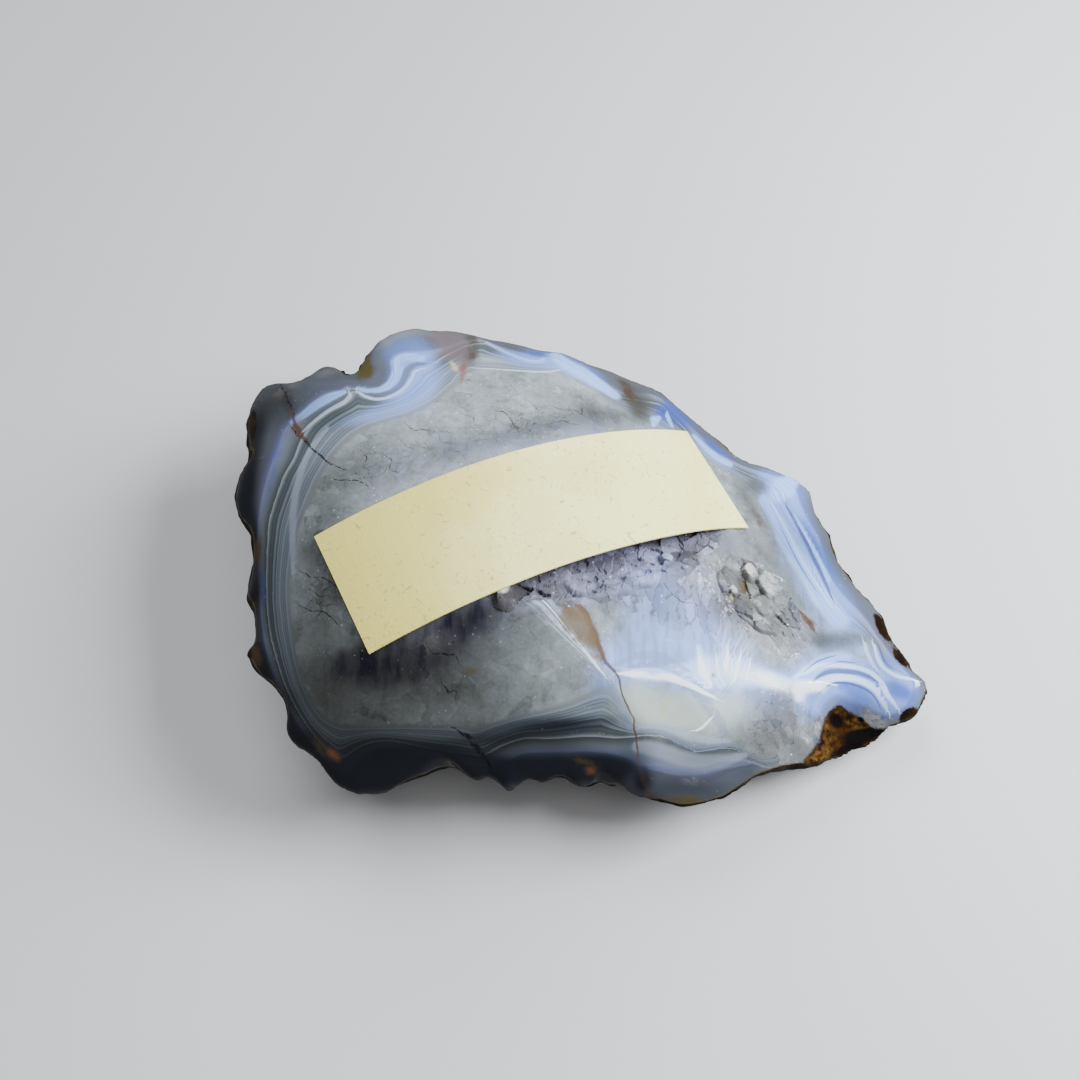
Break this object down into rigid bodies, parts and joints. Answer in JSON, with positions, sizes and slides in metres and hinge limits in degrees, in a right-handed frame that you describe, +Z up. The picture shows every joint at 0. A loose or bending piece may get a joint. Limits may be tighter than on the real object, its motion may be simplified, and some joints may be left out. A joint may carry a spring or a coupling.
{
  "type": "botswana agate specimen",
  "caption": "Half of a banded agate nodule with a domed polished face, a crystal-lined hollow, a rough underside and a blank paper label laid over its crest.",
  "frame": {"origin": "on the ground, under the middle of the stone's outline", "axes": "+X along the stone, from its thick end to its thin end; +Y across it, away from its steep near side; +Z up, out of the polished face"},
  "size_m": [0.118, 0.0878, 0.0373],
  "materials": {
    "agate": "polished face with blue-grey and white bands over a matt brown rind",
    "quartz": "glassy, faceted, rough",
    "paper": "matt, fine fibres"
  },
  "bodies": {
    "root": {"agate": "agate", "hollow_crystals": "quartz", "pocket_crystals": "quartz", "label": "paper"}
  },
  "joints": []
}
